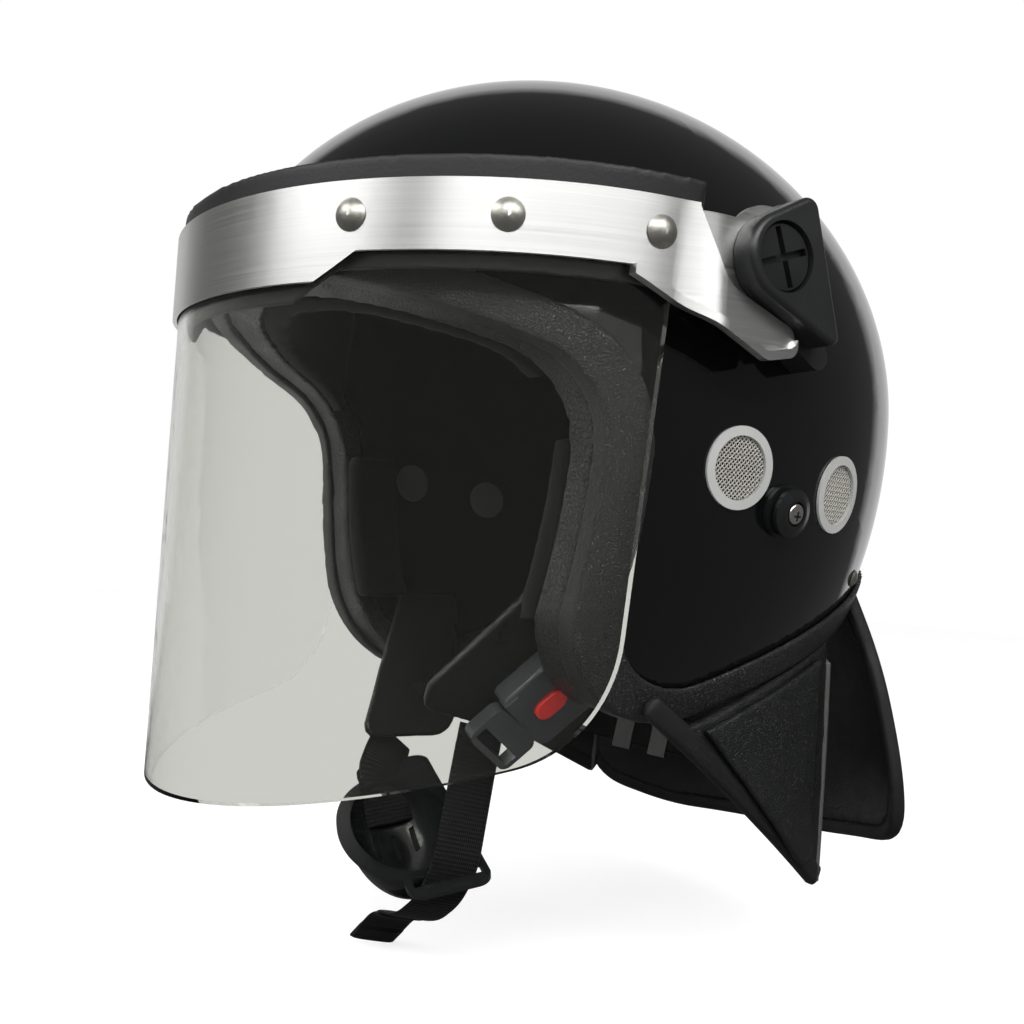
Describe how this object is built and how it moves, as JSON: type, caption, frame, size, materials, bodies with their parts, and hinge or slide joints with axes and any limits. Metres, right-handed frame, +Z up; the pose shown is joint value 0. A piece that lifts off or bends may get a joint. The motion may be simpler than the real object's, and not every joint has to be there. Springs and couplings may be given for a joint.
{
  "type": "police riot helmet",
  "caption": "Full-head protective helmet: gloss shell with padded rim, lifting clear visor in a metal frame, vent ports, neck guard, chin strap and cup.",
  "frame": {"origin": "centre of the shell's dome, at the plane of its greatest width, where the head sits", "axes": "+Z up, -Y the way the face looks, +X the wearer's left"},
  "size_m": [0.294, 0.3141, 0.3538],
  "materials": {
    "shell_gloss_black": "gloss",
    "leatherette_black": "satin",
    "leatherette_roll": "satin",
    "foam_liner": "matte",
    "foam_pad": "matte",
    "touch_fastener": "matte",
    "rivet_steel": "polished",
    "clear_polycarbonate": "gloss",
    "frame_aluminium": "satin",
    "gasket_rubber": "matte",
    "webbing_black": "matte",
    "slider_grey_plastic": "satin",
    "leather_strap": "satin",
    "buckle_plastic": "satin",
    "button_red": "gloss",
    "cup_gloss_black": "gloss",
    "guard_leatherette": "satin",
    "vent_ring_metal": "satin",
    "vent_mesh_steel": "satin",
    "stud_plastic": "satin",
    "screw_steel": "satin",
    "pivot_plastic": "satin",
    "knob_plastic": "satin",
    "sleeve_steel": "satin",
    "hinge_steel": "satin"
  },
  "bodies": {
    "helmet": {"brow_pad": "foam_pad", "buckle_body": "buckle_plastic", "buckle_tongue": "buckle_plastic", "cheek_pad_left": "foam_pad", "cheek_pad_right": "foam_pad", "chin_cup": "cup_gloss_black", "crown_pad": "foam_pad", "edge_roll": "leatherette_roll", "leather_flap": "leather_strap", "leather_tab": "leather_strap", "liner": "foam_liner", "mask_stud_left": "stud_plastic", "mask_stud_right": "stud_plastic", "nape_pad": "foam_pad", "nape_strap": "webbing_black", "neck_guard_pad_left": "guard_leatherette", "neck_guard_pad_right": "guard_leatherette", "neck_guard_rear": "guard_leatherette", "neck_guard_side_left": "guard_leatherette", "neck_guard_side_right": "guard_leatherette", "pivot_base_left": "pivot_plastic", "pivot_base_right": "pivot_plastic", "pivot_cover_left": "pivot_plastic", "pivot_cover_right": "pivot_plastic", "pivot_sleeve_left": "sleeve_steel", "pivot_sleeve_right": "sleeve_steel", "rim_rivets": "rivet_steel", "rim_trim": "leatherette_black", "shell": "shell_gloss_black", "strap_sliders": "slider_grey_plastic", "stud_screw_left": "screw_steel", "stud_screw_right": "screw_steel", "velcro_dots": "touch_fastener", "vent_mesh_front_left": "vent_mesh_steel", "vent_mesh_front_right": "vent_mesh_steel", "vent_mesh_rear_left": "vent_mesh_steel", "vent_mesh_rear_right": "vent_mesh_steel", "vent_ring_front_left": "vent_ring_metal", "vent_ring_front_right": "vent_ring_metal", "vent_ring_rear_left": "vent_ring_metal", "vent_ring_rear_right": "vent_ring_metal", "webbing_far": "webbing_black", "webbing_near": "webbing_black", "webbing_tail": "webbing_black"},
    "visor": {"visor_lens": "clear_polycarbonate", "visor_frame": "frame_aluminium", "visor_gasket": "gasket_rubber", "frame_rivets": "rivet_steel", "hinge_plate_left": "hinge_steel", "hinge_plate_right": "hinge_steel"},
    "knob_left": {"pivot_knob_left": "knob_plastic"},
    "knob_right": {"pivot_knob_right": "knob_plastic"},
    "button": {"release_button": "button_red"}
  },
  "joints": [
    {"name": "visor_hinge", "type": "hinge", "parent": "helmet", "child": "visor", "pos_m": [0, -0.0098, 0.0386], "axis": [-1, 0, 0], "range_deg": [0, 80]},
    {"name": "knob_turn_left", "type": "hinge", "parent": "helmet", "child": "knob_left", "pos_m": [0.1415, -0.0098, 0.0386], "axis": [1, 0, 0], "range_deg": [0, 90]},
    {"name": "knob_turn_right", "type": "hinge", "parent": "helmet", "child": "knob_right", "pos_m": [-0.1415, -0.0098, 0.0386], "axis": [-1, 0, 0], "range_deg": [0, 90]},
    {"name": "release_press", "type": "slide", "parent": "helmet", "child": "button", "axis": [-0.8829, 0, 0.4695], "range_m": [0, 0.0025], "stiffness_N_per_m": 900, "springref_m": -0.001}
  ]
}
